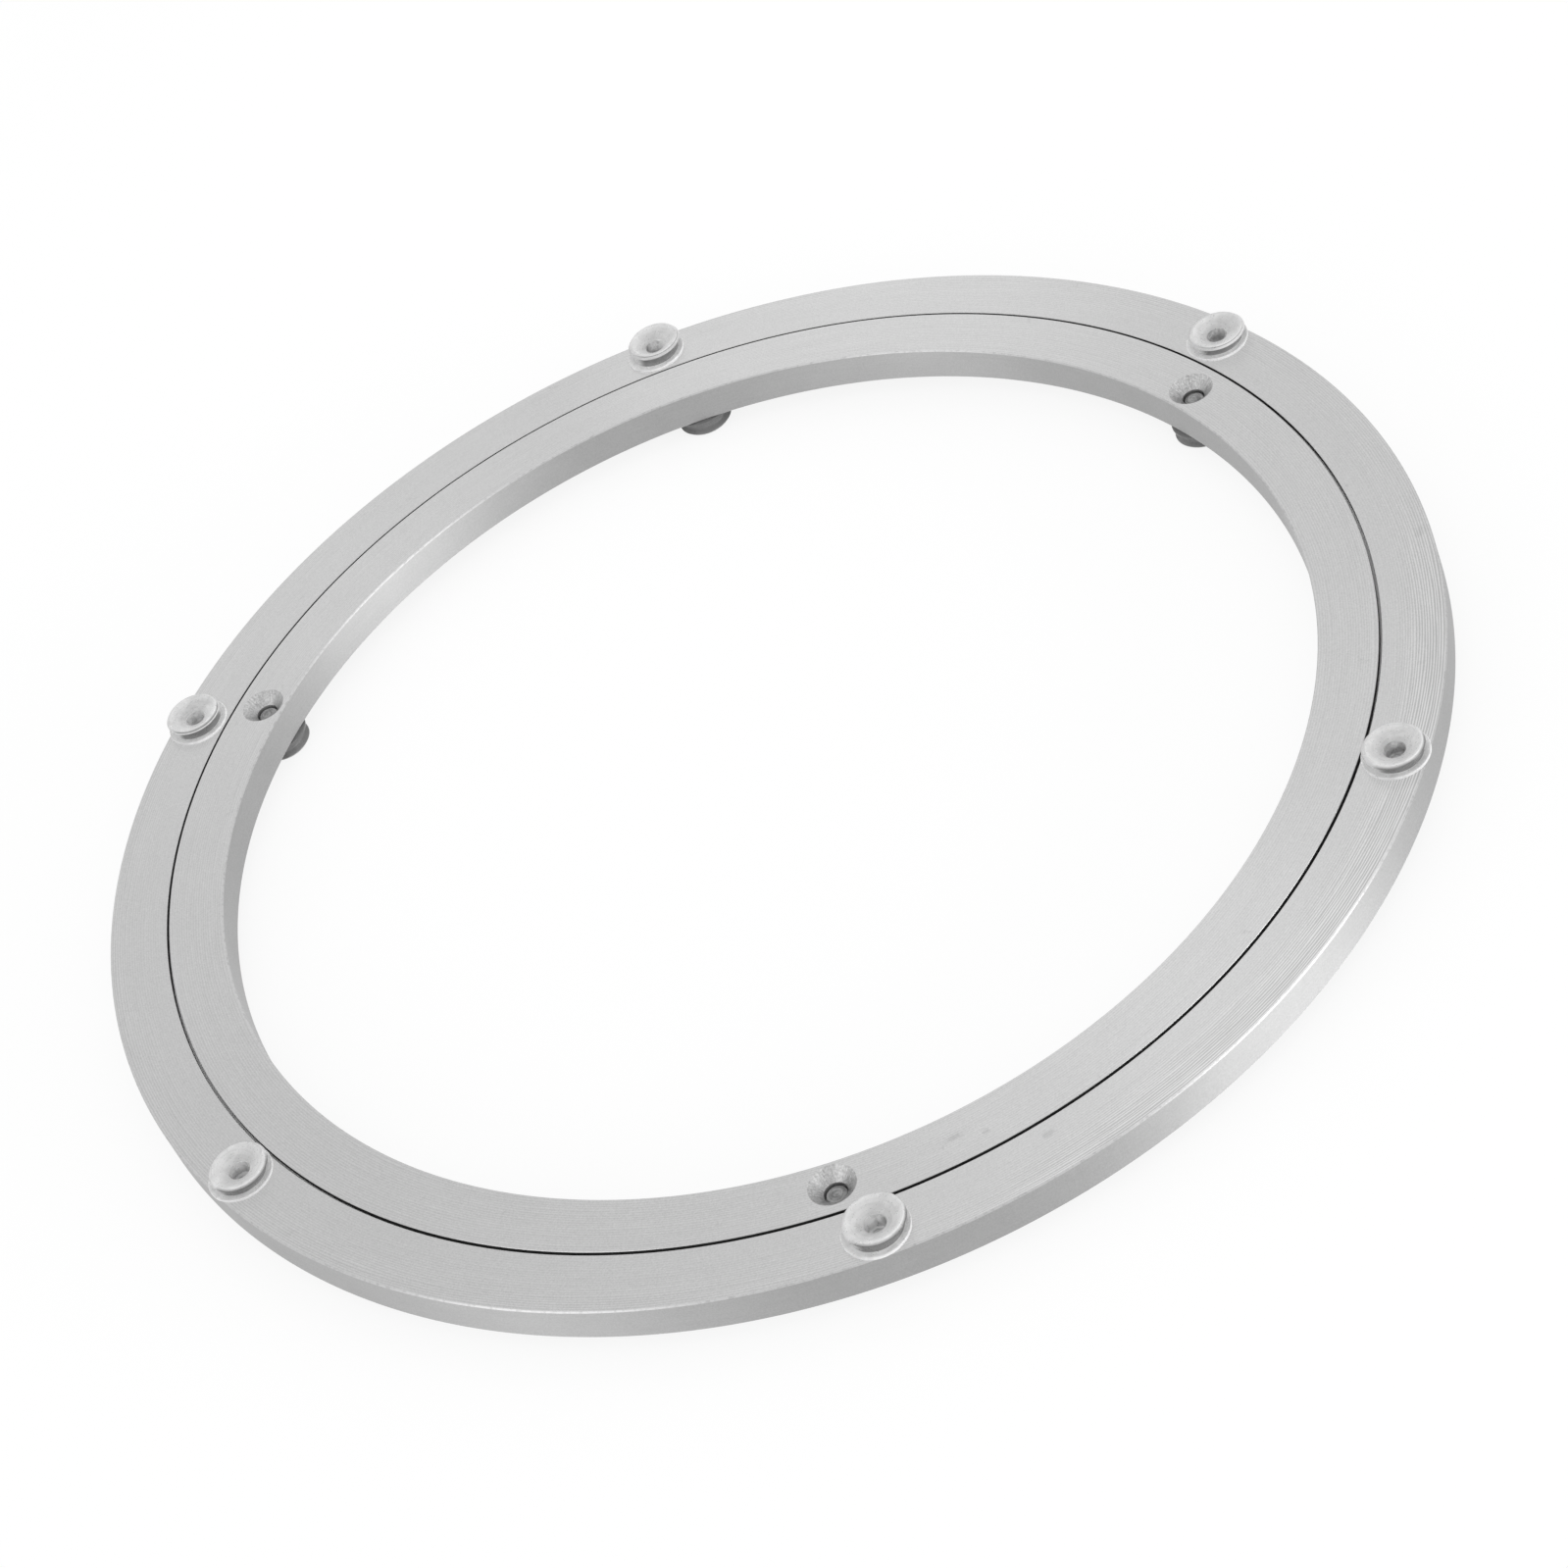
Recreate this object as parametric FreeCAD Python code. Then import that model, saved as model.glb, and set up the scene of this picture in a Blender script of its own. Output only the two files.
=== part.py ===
import FreeCAD, Part
import math
import os

# Lazy susan bearing: an inner and an outer aluminium ring that turn on a race of steel balls.
# Silicone feet plug into the inner ring's underside and silicone pads into the outer ring's top.
# Millimetres, +Z up. The origin is on the bearing's axis, in the plane that the feet stand on.

# Rings
outer_radius = 150.0        # outside wall of the outer ring
outer_land = 13.8           # from that wall in to the race
inner_land = 13.1           # from the race in to the wall of the opening
ring_height = 8.3           # thickness of each ring
slit_width = 0.6            # open slit between the rings on both faces
ring_step = 0.15            # how far the outer ring's faces lie below the inner ring's
wall_chamfer = 0.3          # broken edges of the outside wall and of the opening
slit_chamfer = 0.1          # broken edges along the slit

# Race
ball_radius = 2.0
ball_count = 36
groove_clearance = 0.1      # radial play of a ball in its two grooves
pocket_clearance = 0.1      # radial play of a ball in its pocket
pocket_web = 0.4            # cage left above and below each pocket
cage_thickness = 1.4
cage_end_gap = 2.0          # between the two ends of the cage strip
cage_side_play = 0.5        # between the cage and the walls of its channel
cage_end_play = 0.3         # between the cage and the channel's floor and roof

# Filling hole, through the outer ring's wall into the groove, and its plug
fill_clearance = 0.1        # radial play of a ball in the filling hole
plug_clearance = 0.02
plug_azimuth = 90.0         # degrees, counted from the outer ring's first pad

# Holes for stems and screws: every second one is countersunk and goes through
hole_count = 6
hole_radius = 2.5
inner_hole_shift = 0.5      # from the middle of the inner ring's face towards the opening
outer_hole_shift = 0.3      # from the middle of the outer ring's face towards its outside wall
sink_radius = 5.0           # mouth of the 90 degree countersink
outer_turn = 2.75           # degrees that the outer ring is turned at rest

# Stems of the feet and pads
stem_clearance = 0.02
stem_length = 5.6
blind_clearance = 0.2       # between a stem's end and the floor of its blind hole
stem_taper = 0.9            # height of the tapered tip
tip_radius = 1.9

# Form shared by the feet and pads: flange on the ring, neck, dished disc on the outside
flange_lift = 0.3           # the flange's rim stands this far off the ring's face
flange_rim = 0.7            # thickness of the rim
seat_inset = 1.4            # from the flange's rim in to the flat that lies on the ring
neck_inset = 1.0            # from the disc's rim in to the neck
lip_height = 0.1            # straight part of the disc's rim
lip_slope = 0.7             # height of the slanting side from there to the top
lip_inset = 0.6             # how far that side leans in
lip_flat = 0.4              # width of the flat that touches the table or the tray
disc_flare = 0.8            # rise of the disc's underside from neck to rim
dish_depth = 1.9
socket_radius = 2.3         # blind hole in the middle of the dish
socket_floor = -1.6         # its floor, counted from the ring's face

pad_height = 4.0
pad_flange_radius = 7.1
pad_disc_radius = 6.5
foot_height = 4.2
foot_flange_radius = 6.7
foot_disc_radius = 6.5

# Radii that follow
race_radius = outer_radius - outer_land         # the ball centres run on it, in the slit's middle
inner_radius = race_radius - inner_land         # wall of the opening
inner_slit_radius = race_radius - slit_width / 2
outer_slit_radius = race_radius + slit_width / 2
groove_radius = ball_radius + groove_clearance
pocket_radius = ball_radius + pocket_clearance
channel_width = cage_thickness + 2 * cage_side_play
inner_hole_circle = (inner_radius + inner_slit_radius) / 2 - inner_hole_shift
outer_hole_circle = (outer_radius + outer_slit_radius) / 2 + outer_hole_shift

# Heights that follow
cage_height = 2 * (pocket_radius + pocket_web)
channel_height = cage_height + 2 * cage_end_play
inner_bottom = foot_height
outer_bottom = inner_bottom - ring_step
outer_top = outer_bottom + ring_height
race_height = inner_bottom + ring_height / 2
blind_depth = stem_length + blind_clearance

origin = FreeCAD.Vector(0, 0, 0)
up = FreeCAD.Vector(0, 0, 1)
outward = FreeCAD.Vector(1, 0, 0)


def turned(shape, degrees):
    """A copy of the shape, turned about the bearing's axis."""
    copy = shape.copy()
    copy.rotate(origin, up, degrees)
    return copy


def revolved(points):
    """The solid of revolution about Z of a closed outline of (radius, height) points."""
    corners = [FreeCAD.Vector(radius, 0, height) for radius, height in points]
    face = Part.Face(Part.makePolygon(corners + corners[:1]))
    return face.revolve(origin, up, 360)


def save(name, shape):
    shape.exportStep("parts/" + name + ".step")


def ring_blank(wall_radius, slit_radius, channel_radius, bottom):
    """A flat ring with a plain wall on one side and half of the cage channel on the other."""
    away = math.copysign(1, slit_radius - wall_radius)
    top = bottom + ring_height
    channel_bottom = race_height - channel_height / 2
    channel_top = race_height + channel_height / 2
    return revolved([
        (wall_radius + away * wall_chamfer, bottom),
        (slit_radius - away * slit_chamfer, bottom),
        (slit_radius, bottom + slit_chamfer),
        (slit_radius, channel_bottom),
        (channel_radius, channel_bottom),
        (channel_radius, channel_top),
        (slit_radius, channel_top),
        (slit_radius, top - slit_chamfer),
        (slit_radius - away * slit_chamfer, top),
        (wall_radius + away * wall_chamfer, top),
        (wall_radius, top - wall_chamfer),
        (wall_radius, bottom + wall_chamfer),
    ])


def race_groove():
    """The round race that both rings are grooved by."""
    return Part.makeTorus(race_radius, groove_radius, FreeCAD.Vector(0, 0, race_height), up)


def stem_hole(circle, seat_height, inwards, depth):
    """A round hole that opens at the face where a foot or pad is plugged in."""
    mouth = FreeCAD.Vector(circle, 0, seat_height)
    return Part.makeCylinder(hole_radius, depth, mouth, inwards)


def screw_hole(circle, seat_height, inwards):
    """The same hole, right through the ring, with a countersink at the far face."""
    through = stem_hole(circle, seat_height, inwards, ring_height)
    far_end = FreeCAD.Vector(circle, 0, seat_height) + inwards * ring_height
    return through.fuse(Part.makeCone(sink_radius, 0, sink_radius, far_end, -inwards))


def drilled(ring, circle, seat_height, inwards, first_azimuth):
    """The ring with its through and blind holes, by turns round the circle."""
    through = screw_hole(circle, seat_height, inwards)
    blind = stem_hole(circle, seat_height, inwards, blind_depth)
    holes = []
    for index in range(hole_count):
        hole = blind if index % 2 else through
        holes.append(turned(hole, first_azimuth + index * 360 / hole_count))
    return ring.cut(holes)


def inner_ring():
    channel_radius = race_radius - channel_width / 2
    blank = ring_blank(inner_radius, inner_slit_radius, channel_radius, inner_bottom)
    ring = blank.cut(race_groove())
    return drilled(ring, inner_hole_circle, inner_bottom, up, 0)


def outer_ring_blank():
    """The outer ring before it is drilled."""
    channel_radius = race_radius + channel_width / 2
    blank = ring_blank(outer_radius, outer_slit_radius, channel_radius, outer_bottom)
    return blank.cut(race_groove())


def radial_pin(radius):
    """A round pin that runs from the race out through the outer ring's wall."""
    start = FreeCAD.Vector(race_radius, 0, race_height)
    pin = Part.makeCylinder(radius, outer_radius - race_radius + ball_radius, start, outward)
    return turned(pin, outer_turn + plug_azimuth)


def outer_ring(blank):
    ring = drilled(blank, outer_hole_circle, outer_top, -up, outer_turn)
    return ring.cut(radial_pin(ball_radius + fill_clearance))


def fill_plug(blank):
    """The plug fills its hole, so its ends follow the groove and the outside wall."""
    return blank.common(radial_pin(ball_radius + fill_clearance - plug_clearance))


def ball(azimuth):
    centre = FreeCAD.Vector(race_radius, 0, race_height)
    return turned(Part.makeSphere(ball_radius, centre), azimuth)


def cage(azimuths):
    """A strip bent to a ring, open between its ends, with a round pocket for each ball."""
    inside = race_radius - cage_thickness / 2
    outside = race_radius + cage_thickness / 2
    bottom = race_height - cage_height / 2
    top = race_height + cage_height / 2
    strip = revolved([(inside, bottom), (outside, bottom), (outside, top), (inside, top)])
    start = FreeCAD.Vector(race_radius - cage_thickness, 0, race_height)
    pocket = Part.makeCylinder(pocket_radius, 2 * cage_thickness, start, outward)
    cuts = [turned(pocket, azimuth) for azimuth in azimuths]
    corner = FreeCAD.Vector(inside - cage_thickness, -cage_end_gap / 2, bottom - cage_height)
    slot = Part.makeBox(3 * cage_thickness, cage_end_gap, 3 * cage_height, corner)
    cuts.append(turned(slot, 180 / ball_count))
    return strip.cut(cuts)


def plug_in(height, flange_radius, disc_radius):
    """A foot or pad on its own axis, standing up from a ring's face at height zero."""
    stem_radius = hole_radius - stem_clearance
    neck_radius = disc_radius - neck_inset
    lip_top = height - lip_slope
    lip_bottom = lip_top - lip_height
    top_radius = disc_radius - lip_inset
    return revolved([
        (0, -stem_length),
        (tip_radius, -stem_length),
        (stem_radius, stem_taper - stem_length),
        (stem_radius, 0),
        (flange_radius - seat_inset, 0),
        (flange_radius, flange_lift),
        (flange_radius, flange_lift + flange_rim),
        (neck_radius, flange_lift + flange_rim),
        (neck_radius, lip_bottom - disc_flare),
        (disc_radius, lip_bottom),
        (disc_radius, lip_top),
        (top_radius, height),
        (top_radius - lip_flat, height),
        (socket_radius, height - dish_depth),
        (socket_radius, socket_floor),
        (0, socket_floor),
    ])


def foot(azimuth):
    shape = plug_in(foot_height, foot_flange_radius, foot_disc_radius)
    shape.rotate(origin, outward, 180)
    shape.translate(FreeCAD.Vector(inner_hole_circle, 0, inner_bottom))
    return turned(shape, azimuth)


def pad(azimuth):
    shape = plug_in(pad_height, pad_flange_radius, pad_disc_radius)
    shape.translate(FreeCAD.Vector(outer_hole_circle, 0, outer_top))
    return turned(shape, azimuth)


os.makedirs("parts", exist_ok=True)

save("inner_ring", inner_ring())
plain_outer_ring = outer_ring_blank()
save("outer_ring", outer_ring(plain_outer_ring))
save("fill_plug", fill_plug(plain_outer_ring))

ball_azimuths = [index * 360 / ball_count for index in range(ball_count)]
save("cage", cage(ball_azimuths))
for index, azimuth in enumerate(ball_azimuths):
    save("ball_%02d" % (index + 1), ball(azimuth))

for index in range(hole_count):
    hole_azimuth = index * 360 / hole_count
    save("foot_%d" % (index + 1), foot(hole_azimuth))
    save("pad_%d" % (index + 1), pad(outer_turn + hole_azimuth))
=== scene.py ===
import math

import bmesh
import bpy
import numpy as np
from bpy.props import FloatProperty, FloatVectorProperty, IntProperty, PointerProperty
from mathutils import Matrix, Vector


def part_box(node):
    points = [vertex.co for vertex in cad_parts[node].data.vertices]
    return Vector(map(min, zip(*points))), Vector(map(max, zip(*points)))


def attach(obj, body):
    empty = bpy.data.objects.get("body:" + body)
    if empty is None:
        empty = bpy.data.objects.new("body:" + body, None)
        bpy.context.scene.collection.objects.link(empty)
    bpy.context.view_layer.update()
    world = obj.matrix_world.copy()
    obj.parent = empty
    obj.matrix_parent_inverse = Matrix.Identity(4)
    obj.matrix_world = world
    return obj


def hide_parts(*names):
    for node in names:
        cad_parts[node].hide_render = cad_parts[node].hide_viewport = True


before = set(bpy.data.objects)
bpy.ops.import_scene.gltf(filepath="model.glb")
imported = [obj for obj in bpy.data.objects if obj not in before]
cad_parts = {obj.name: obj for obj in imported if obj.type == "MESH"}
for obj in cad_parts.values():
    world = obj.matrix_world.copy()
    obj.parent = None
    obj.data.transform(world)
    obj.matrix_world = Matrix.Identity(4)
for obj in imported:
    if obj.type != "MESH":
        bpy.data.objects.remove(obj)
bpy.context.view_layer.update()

bl_info = {
    "name": "Lazy Susan Bearing",
    "version": (1, 0, 0),
    "blender": (4, 5, 0),
    "location": "View3D > Sidebar > Bearing",
    "description": "Turned aluminium rings with silicone feet and pads, on the bearing's frame",
    "category": "Mesh",
}

MM = 0.001
WELD = 1e-6
SAME = WELD / 100
MARGIN = 0.1 * MM

# Finishes of a ring, in the order of its material slots
FACE, WALL, EDGE, RACE, SINK, BORE = range(6)

# Camera that the photograph was taken with, in the frame's metres
CAMERA_PLACE = (-0.22046, -0.60901, 0.57845)
CAMERA_RIGHT = (0.75367, -0.57671, -0.31524)
CAMERA_DOWN = (-0.60567, -0.42317, -0.67386)
CAMERA_LENS = 92.08
SENSOR_WIDTH = 36.0

# Each lamp's place and its width and height in metres, and its power in watts
LAMPS = {
    "top_lamp": ((0.70, 1.1, 2.1), (0.9, 0.9), 2.4),
    "front_lamp": ((1.09, -1.91, 0.26), (1.6, 0.5), 30.0),
    "left_lamp": ((-2.1, -0.37, 0.5), (1.2, 1.2), 10.0),
    "far_lamp": ((0.20, 0.30, 0.19), (0.16, 0.16), 0.036),
}

# Half the floor's width, and how much of it shows as plain white
FLOOR_HALF = 3.0
FLOOR_GLOW = 0.84
WHITE = (1, 1, 1, 1)


# Measures of the frame

def reach(node):
    """Nearest and farthest distance of a frame node's points from the bearing's axis."""
    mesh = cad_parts[node].data
    points = np.empty(len(mesh.vertices) * 3)
    mesh.vertices.foreach_get("co", points)
    distance = np.hypot(points[0::3], points[1::3])
    return float(distance.min()), float(distance.max())


def middle(node):
    """Centre of a frame node's box."""
    low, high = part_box(node)
    return (low + high) / 2


def heights(node):
    """Lowest and highest point of a frame node."""
    low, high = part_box(node)
    return low.z, high.z


def half_height(node):
    """Half the height of a frame node, which is the radius of a ball or lying plug."""
    low, high = heights(node)
    return (high - low) / 2


def circle_of(node):
    """Distance of a node's centre from the bearing's axis, and its azimuth."""
    centre = middle(node)
    return math.hypot(centre.x, centre.y), math.atan2(centre.y, centre.x)


RACE_RADIUS = middle("ball_01").x
RACE_HEIGHT = middle("ball_01").z
BALL_RADIUS = half_height("ball_01")
PLUG_RADIUS = half_height("fill_plug")
CAGE_LOW, CAGE_HIGH = heights("cage")
FOOT_CIRCLE, FIRST_FOOT = circle_of("foot_1")
PAD_CIRCLE, FIRST_PAD = circle_of("pad_1")
PLUG_AZIMUTH = circle_of("fill_plug")[1]
HOLE_COUNT = 6

# Rounding of a hole's mouth, its floor and the corner under its countersink
HOLE_LIP = 0.06 * MM
HOLE_CORNER = 0.2 * MM
SINK_CORNER = 0.04 * MM

# The filling hole: room round its plug, and how far it stops short of the race groove
PLUG_PLAY = 0.02 * MM
FILL_STOP = 0.2 * MM

# Form of a pad or foot, as in the part
NECK_INSET = 1.0 * MM
LIP_SLOPE = 0.7 * MM
LIP_HEIGHT = 0.1 * MM
LIP_FLAT = 0.4 * MM
DISC_FLARE = 0.8 * MM
SEAT_INSET = 1.4 * MM
FLANGE_LIFT = 0.3 * MM
FLANGE_TOP = 1.0 * MM
SOCKET_FLOOR = -1.6 * MM

# The stem's dimpled and tapered tip, as radius and height from its end
STEM_TIP = ((0, 0.25), (0.9, 0.2), (1.15, 0), (2.15, 0.4))
STEM_TAPER = 1.3 * MM

# Rounding of each inner corner of a spool's outline, from the tip of its stem to its socket's floor
SPOOL_ROUNDING = (0.15, 0.15, 0.5, 0.3, 0.02, 0.5, 0.12, 0.28, 0.3, 0.3, 0.04, 0.1, 0.02, 0.12, 0.15,
                  0.25, 0.3)

# Waviness of a flange's soft rim, and the height it is strongest at
FLANGE_WAVE = 0.06 * MM
FLANGE_MIDDLE = 0.65 * MM

# How far each pad's soft disc is pushed over in millimetres, round the bearing and away from its axis
PAD_LEANS = ((-0.8, 0.0), (-0.6, 0.6), (0.0, 0.2), (0.8, -0.3), (0.5, -0.1), (-0.6, 0.1))
FOOT_LEAN = (0.0, 0.0)
LEAN_START = 0.8 * MM

# How far down the disc's side, from its top, the neck shows through in painted shade, and the side of the pad
# that this painted shade lies on
PAD_SHADES = (0.35, 0.35, 0.7, 0.95, 0.95, 0.9)
FOOT_SHADE = 0.5
SHADED_SIDE = math.radians(265)

# Azimuth of the outer ring's face where its lathe lines get a painted sheen, and the pitch of the lathe's
# feed over 2 pi
LATHE_SHEEN_SIDE = math.radians(292)
LATHE_FEED = 0.09 * MM

# Sheen of metal that is turned in fine lines round the bearing
TURNED = {"Anisotropic": 0.8, "Anisotropic_Rotation": 0.25}

# Finishes of a pad or foot, in the order of its material slots
MILKY, HOLLOW = range(2)

# How light the disc, the shaded neck, the flange, the socket and the stem are: one silicone with painted
# light and shade, the neck in painted shade
PAD_TONES = (1.02, 0.3, 1.32, 1.35, 1.0)
FOOT_TONES = (0.8, 0.72, 0.62, 0.9, 1.1)

# How much lighter the disc's rim is as a painted highlight, and how much darker its shaded side is as painted
# shade
RIM_HIGHLIGHT = 1.2
SIDE_SHADE = 0.4

# Where the rim's painted highlight ends and where the neck's painted shade starts, down from the disc's top:
# it starts higher on a pad whose whole side is shaded. Then how far the flange's and socket's tones reach
# past them.
RIM_DROP = 0.08 * MM
HIGH_NECK = 0.5 * MM
LOW_NECK = 0.75 * MM
FLANGE_EDGE = 0.02 * MM
SOCKET_EDGE = 0.05 * MM

# The lightest tone that the silicone's colour can take, and how clear it is
LIGHTEST = 1.8
PAD_CLEARNESS = 0.25
FOOT_CLEARNESS = 0.06


class BearingSizes(bpy.types.PropertyGroup):
    columns: IntProperty(name="Columns", description="Points round each ring", default=720, min=360)
    wall_chamfer: FloatProperty(
        name="Wall Chamfer", description="Broken edge of the outside wall and of the opening",
        default=0.3 * MM, unit="LENGTH", precision=5)
    slit_chamfer: FloatProperty(
        name="Slit Chamfer", description="Broken edge along the slit",
        default=0.1 * MM, unit="LENGTH", precision=5)
    edge_radius: FloatProperty(
        name="Edge Radius", description="Rounding of the ring's turned edges",
        default=0.06 * MM, unit="LENGTH", precision=5)
    channel_play: FloatProperty(
        name="Channel Play", description="Room round the cage in its channel",
        default=0.3 * MM, unit="LENGTH", precision=5)
    channel_half: FloatProperty(
        name="Channel Half Width", description="From the race line to the wall of the cage's channel",
        default=1.2 * MM, unit="LENGTH", precision=5)
    groove_play: FloatProperty(
        name="Groove Play", description="Room round a ball in its groove",
        default=0.1 * MM, unit="LENGTH", precision=5)
    hole_radius: FloatProperty(
        name="Hole Radius", description="Holes that the stems plug into",
        default=2.5 * MM, unit="LENGTH", precision=5)
    sink_radius: FloatProperty(
        name="Countersink Radius", description="Mouth of a countersink",
        default=5.0 * MM, unit="LENGTH", precision=5)
    blind_depth: FloatProperty(
        name="Blind Depth", description="Depth of the holes that don't go through",
        default=5.8 * MM, unit="LENGTH", precision=5)
    stem_length: FloatProperty(
        name="Stem Length", description="Length of a foot's or pad's stem in its hole",
        default=5.6 * MM, unit="LENGTH", precision=5)
    stem_radius: FloatProperty(
        name="Stem Radius", description="Radius of that stem",
        default=2.48 * MM, unit="LENGTH", precision=5)
    socket_radius: FloatProperty(
        name="Socket Radius", description="Blind hole in the middle of a pad's or foot's dish",
        default=2.3 * MM, unit="LENGTH", precision=5)
    disc_radius: FloatProperty(
        name="Disc Radius", description="Widest part of a pad's or foot's dished disc",
        default=6.5 * MM, unit="LENGTH", precision=5)
    lip_inset: FloatProperty(
        name="Lip Inset", description="How far the disc's side leans in towards its top",
        default=0.6 * MM, unit="LENGTH", precision=5)
    dish_depth: FloatProperty(
        name="Dish Depth", description="From a disc's top down to the mouth of its socket",
        default=1.9 * MM, unit="LENGTH", precision=5)
    disc_tilt: FloatProperty(
        name="Disc Tilt", description="How far one side of a soft disc sags",
        default=0.12 * MM, unit="LENGTH", precision=5)


def colour(name, description, value):
    """A colour setting whose default is a grey of the given value."""
    return FloatVectorProperty(name=name, description=description, default=(value,) * 3,
                               subtype="COLOR", size=3, min=0.0, max=1.0)


class BearingFinish(bpy.types.PropertyGroup):
    inner_face: colour("Inner Face", "Etched faces of the inner ring", 0.53)
    outer_face: colour("Outer Face", "Turned faces of the outer ring", 0.53)
    # The walls' tints are lower than the faces': partly their own turned finish, partly painted shade
    opening_wall: colour("Opening Wall", "Wall of the opening", 0.47)
    outside_wall: colour("Outside Wall", "Outside wall of the outer ring", 0.46)
    cut_edge: colour("Cut Edge", "Freshly cut chamfers", 0.54)
    countersink: colour("Countersink", "Bright turned countersinks", 0.48)
    # Near black: partly grease, partly painted shade deep in the slit and race
    race: colour("Race", "Greased walls of the slit and race", 0.015)
    pad: colour("Pad", "Clear silicone pads", 0.55)
    # The feet's low grey is painted shade: the shade under the ring, on silicone as clear as the pads'
    foot: colour("Foot", "Clear silicone feet under the ring", 0.24)
    nylon: colour("Cage", "Natural nylon of the cage", 0.72)
    steel: colour("Balls", "Polished steel balls", 0.62)
    floor: colour("Floor", "Pale floor", 0.88)


# Surfaces

def rounded(corners, radii, steps=3, margin=0.0):
    """The open line through the corners, with an arc of its own radius in place of each inner one.

    Where the line turns by an angle t, the arc starts and ends radius * tan(t / 2) from the corner.
    Its points are the arm from its centre to its start, turned by 0 to t. A margin above zero adds
    a point on the straight that far before and after each arc.
    """
    corners = np.array(corners, float)
    radii = np.array(radii, float)
    into = corners[1:-1] - corners[:-2]
    away = corners[2:] - corners[1:-1]
    into /= np.linalg.norm(into, axis=1, keepdims=True)
    away /= np.linalg.norm(away, axis=1, keepdims=True)
    turn = np.arctan2(into[:, 0] * away[:, 1] - into[:, 1] * away[:, 0], (into * away).sum(axis=1))
    cut = (radii * np.tan(np.abs(turn) / 2))[:, None]
    start = corners[1:-1] - into * cut
    arm = np.stack([into[:, 1], -into[:, 0]], axis=1) * (np.sign(turn) * radii)[:, None]
    angle = turn[:, None] * np.linspace(0, 1, steps + 1)
    arc = np.stack([
        arm[:, :1] * np.cos(angle) - arm[:, 1:] * np.sin(angle),
        arm[:, :1] * np.sin(angle) + arm[:, 1:] * np.cos(angle),
    ], axis=-1) + (start - arm)[:, None]
    if margin:
        before = start - into * margin
        after = corners[1:-1] + away * (cut + margin)
        arc = np.concatenate([before[:, None], arc, after[:, None]], axis=1)
    return np.concatenate([corners[:1], arc.reshape(-1, 2), corners[-1:]])


def round_axis(azimuth, radius, height):
    """Points (r cos a, r sin a, z) from matching arrays of azimuth, radius and height."""
    azimuth, radius, height = np.broadcast_arrays(azimuth, radius, height)
    return np.stack([radius * np.cos(azimuth), radius * np.sin(azimuth), height], axis=-1)


class Skin:
    """Grids of points that are welded to one closed mesh, each row of quads with its finish."""

    def __init__(self):
        self.points = []
        self.quads = []
        self.finishes = []
        self.tones = []
        self.count = 0

    def add(self, grid, finish, closed=True, tone=1.0):
        """A grid of points, rows by columns. A closed one joins its last column to its first."""
        rows, columns = grid.shape[:2]
        index = np.arange(rows * columns).reshape(rows, columns)
        if closed:
            index = np.concatenate([index, index[:, :1]], axis=1)
        corners = np.stack([index[:-1, :-1], index[:-1, 1:], index[1:, 1:], index[1:, :-1]], axis=-1)
        finish = np.broadcast_to(np.reshape(finish, (-1, 1)), corners.shape[:2])
        self.points.append(grid.reshape(-1, 3))
        self.quads.append(corners.reshape(-1, 4) + self.count)
        self.finishes.append(finish.ravel())
        self.tones.append(np.broadcast_to(tone, (rows, columns)).ravel())
        self.count += rows * columns

    def piece(self, name, finishes):
        """The welded object, with outward faces and the given materials."""
        mesh = bpy.data.meshes.new(name)
        mesh.from_pydata(np.concatenate(self.points).tolist(), [], np.concatenate(self.quads).tolist())
        mesh.polygons.foreach_set("material_index", np.concatenate(self.finishes).astype(np.int32))
        tone = mesh.attributes.new("tone", "FLOAT", "POINT")
        tone.data.foreach_set("value", np.concatenate(self.tones).astype(np.float32))
        shell = bmesh.new()
        shell.from_mesh(mesh)
        bmesh.ops.remove_doubles(shell, verts=shell.verts, dist=WELD)
        bmesh.ops.recalc_face_normals(shell, faces=shell.faces)
        shell.to_mesh(mesh)
        shell.free()
        for finish in finishes:
            mesh.materials.append(finish)
        mesh.shade_smooth()
        mesh.set_sharp_from_angle(angle=math.radians(32))
        piece = bpy.data.objects.new(name, mesh)
        bpy.context.scene.collection.objects.link(piece)
        return piece


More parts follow.
